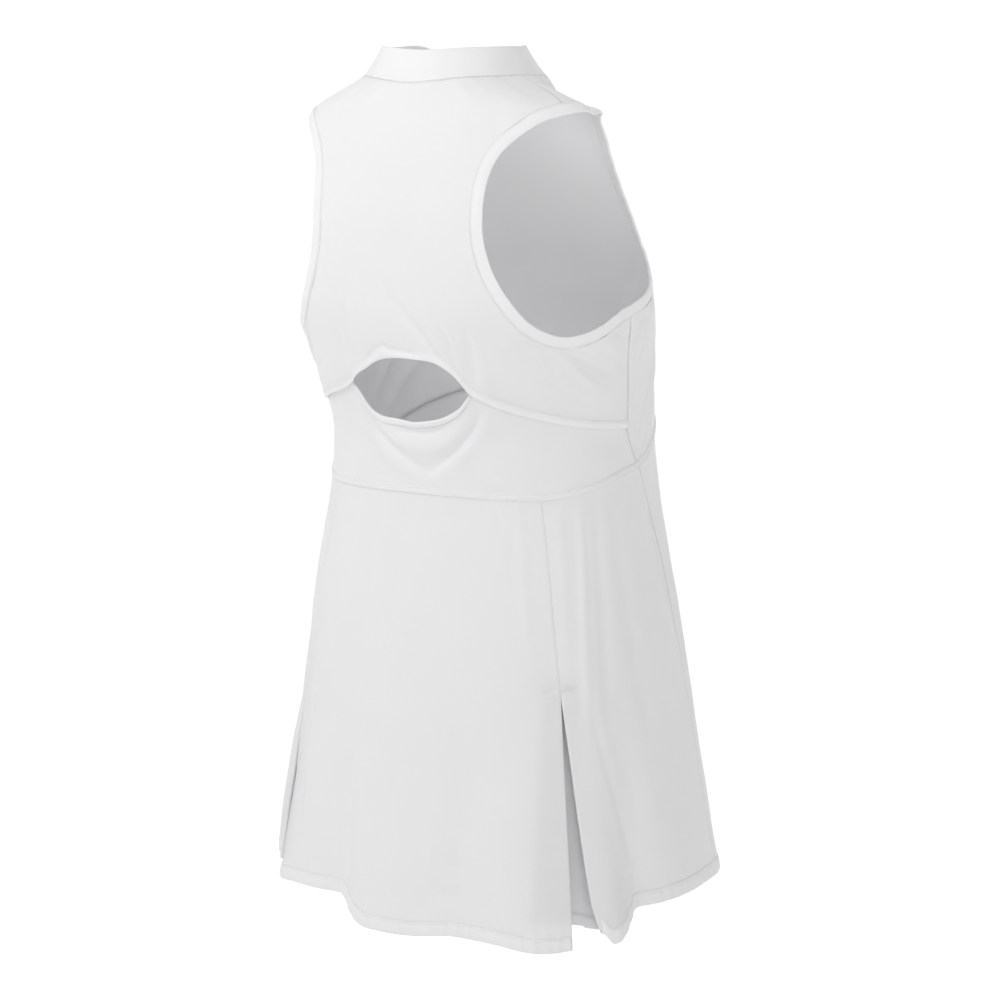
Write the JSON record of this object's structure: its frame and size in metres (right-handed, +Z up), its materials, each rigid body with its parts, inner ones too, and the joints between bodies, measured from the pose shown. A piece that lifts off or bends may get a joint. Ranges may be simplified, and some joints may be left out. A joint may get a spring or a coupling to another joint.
{
  "type": "tennis dress",
  "caption": "Short sleeveless tennis dress with a stand collar, open lower back, waist seam and flared skirt with box pleats.",
  "frame": {"origin": "midway between the shoulder tips, where the wearer's shoulders carry the dress", "axes": "+Z up along the body, -Y out of the wearer's front, -X towards the wearer's right side"},
  "size_m": [0.4354, 0.3485, 0.779],
  "materials": {
    "knit": "white polyester jersey, soft matt sheen",
    "band_knit": "white polyester jersey, folded double and stitched",
    "underlay_knit": "white polyester jersey in the pleat's shade"
  },
  "bodies": {
    "root": {"upper_back": "knit", "waist_panel_back": "knit", "front_bodice": "knit", "skirt_back": "knit", "skirt_side_right": "knit", "skirt_side_left": "knit", "skirt_front": "knit", "cutout_band": "band_knit", "armhole_band_right": "band_knit", "armhole_band_left": "band_knit", "collar": "band_knit", "pleat_insert_right": "underlay_knit", "pleat_insert_left": "underlay_knit"}
  },
  "joints": []
}
